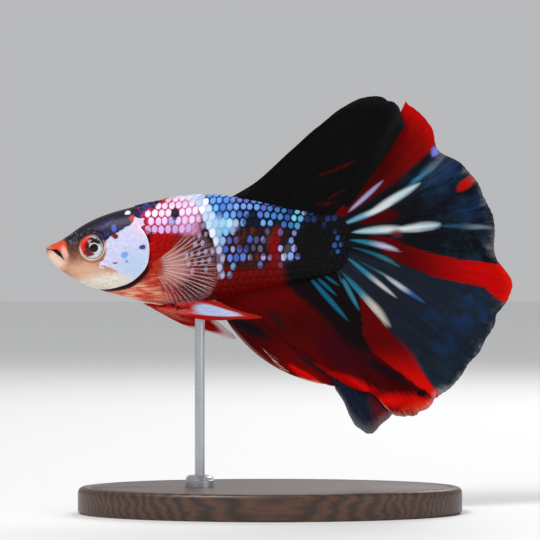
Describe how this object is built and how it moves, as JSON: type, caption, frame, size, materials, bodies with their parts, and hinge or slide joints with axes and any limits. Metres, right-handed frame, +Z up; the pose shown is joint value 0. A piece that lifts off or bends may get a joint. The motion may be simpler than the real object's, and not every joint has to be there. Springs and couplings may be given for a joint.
{
  "type": "betta fish model on stand",
  "caption": "Life-size still model of a male betta fish with spread fins, held by a rod on an oval wooden base.",
  "frame": {"origin": "centre of the underside of the stand's base", "axes": "+Z up; the fish looks along -X; its left side is at -Y"},
  "size_m": [0.0707, 0.034, 0.0631],
  "materials": {
    "flesh": "moist skin with iridescent scales, red flank under blue and white",
    "gill_cover": "white pearly skin with blue spots",
    "tail_stalk": "black scales with dim blue spots",
    "eye": "glossy, red and silver iris round a black pupil",
    "dark_fin": "thin rayed skin, black and navy with white and red streaks",
    "red_fin": "thin rayed skin, dark red to bright red",
    "clear_fin": "clear skin on pinkish-white rays",
    "stand_wood": "dark stained, satin",
    "stand_steel": "fine brushed"
  },
  "bodies": {
    "root": {"head": "flesh", "lower_jaw": "flesh", "gill_cover_left": "gill_cover", "gill_cover_right": "gill_cover", "eye_left": "eye", "eye_right": "eye", "trunk": "flesh", "tail_stalk": "tail_stalk", "dorsal_fin": "dark_fin", "anal_fin": "red_fin", "tail_fin": "dark_fin", "pectoral_fin_left": "clear_fin", "pectoral_fin_right": "clear_fin", "pelvic_fin_left": "red_fin", "pelvic_fin_right": "red_fin", "stand_base": "stand_wood", "stand_rod": "stand_steel", "stand_collar": "stand_steel"}
  },
  "joints": []
}
